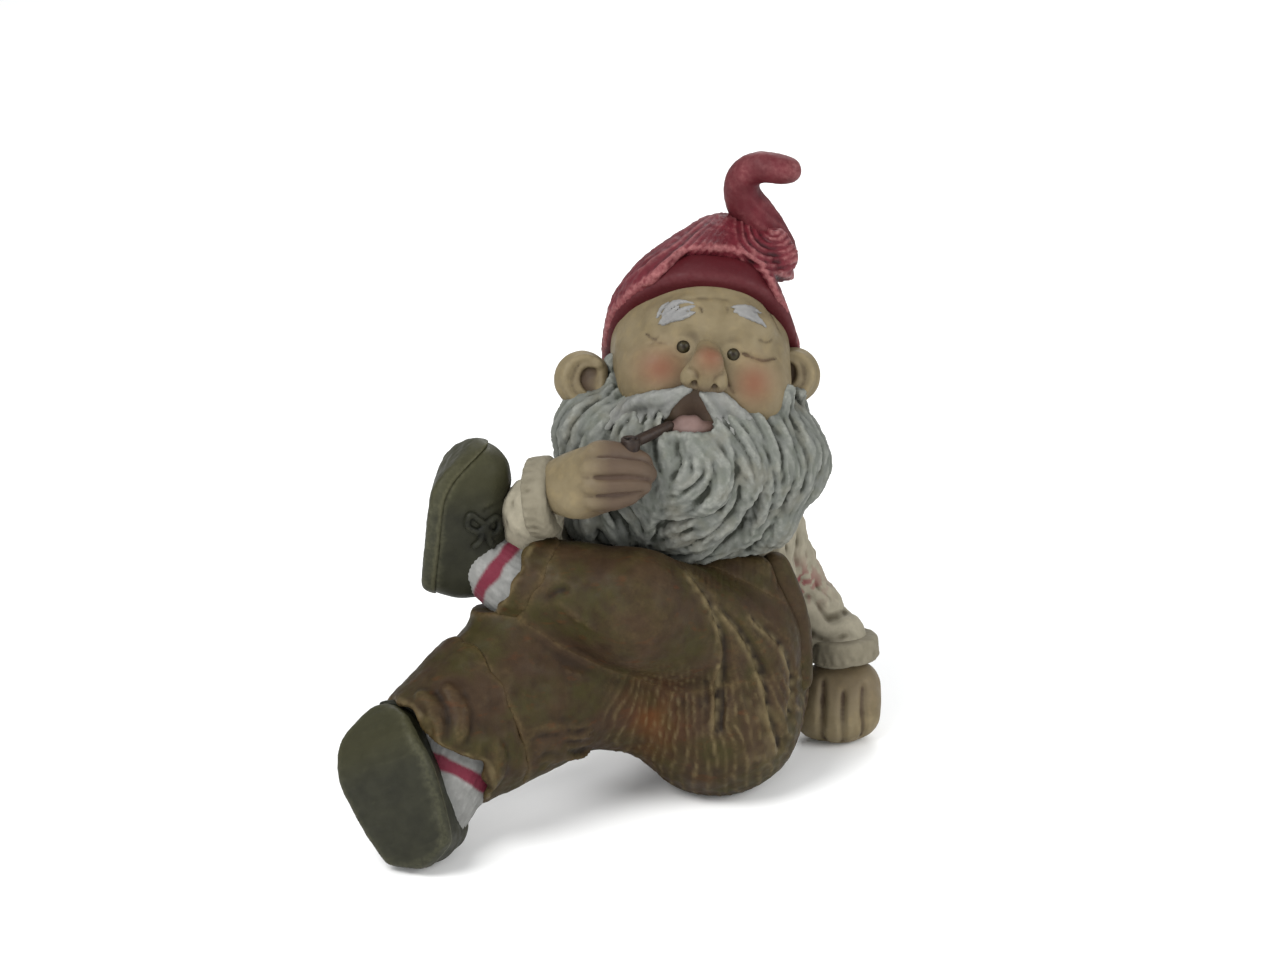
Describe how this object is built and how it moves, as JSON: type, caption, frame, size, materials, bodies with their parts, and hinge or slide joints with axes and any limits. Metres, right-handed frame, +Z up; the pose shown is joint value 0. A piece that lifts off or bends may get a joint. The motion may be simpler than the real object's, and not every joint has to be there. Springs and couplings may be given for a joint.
{
  "type": "gnome figurine",
  "caption": "Cast resin tomte gnome that reclines on the ground with crossed legs and a hand at its pipe, in a red hat and dungarees.",
  "frame": {"origin": "on the ground, on the flat face that the seat of the dungarees rests on", "axes": "+Z up to the tip of the hat, -Y the way that the figure faces, +X to the figure's own left"},
  "size_m": [0.111, 0.0894, 0.1284],
  "materials": {
    "skin": "painted resin, olive tan with rosy washes",
    "eye": "painted resin, dark brown",
    "mouth": "painted resin, dull pink",
    "hair": "painted resin, grey white with a dark wash",
    "hat": "painted resin, crimson with a pink drybrush",
    "wool": "painted resin, cream with a brown wash",
    "cloth": "painted resin, dark brown with rust and olive washes",
    "sock": "painted resin, white with a crimson stripe",
    "shoe": "painted resin, dark olive grey",
    "lace": "painted resin, near black",
    "pipe": "painted resin, dark brown"
  },
  "bodies": {
    "root": {"head": "skin", "nose": "skin", "left_ear": "skin", "right_ear": "skin", "left_hand": "skin", "right_hand": "skin", "left_eye": "eye", "right_eye": "eye", "lower_lip": "mouth", "left_eyebrow": "hair", "right_eyebrow": "hair", "left_moustache": "hair", "right_moustache": "hair", "beard": "hair", "back_hair": "hair", "hat_band": "hat", "hat_crown": "hat", "hat_tail": "hat", "pipe_bowl": "pipe", "pipe_stem": "pipe", "jumper": "wool", "left_sleeve": "wool", "right_sleeve": "wool", "left_cuff": "wool", "right_cuff": "wool", "dungaree_seat": "cloth", "bib": "cloth", "placket": "cloth", "left_brace": "cloth", "right_brace": "cloth", "left_trouser_leg": "cloth", "right_trouser_leg": "cloth", "left_turn_up": "cloth", "right_turn_up": "cloth", "left_sock": "sock", "right_sock": "sock", "left_shoe_upper": "shoe", "right_shoe_upper": "shoe", "left_shoe_sole": "shoe", "right_shoe_sole": "shoe", "left_laces": "lace", "right_laces": "lace"}
  },
  "joints": []
}
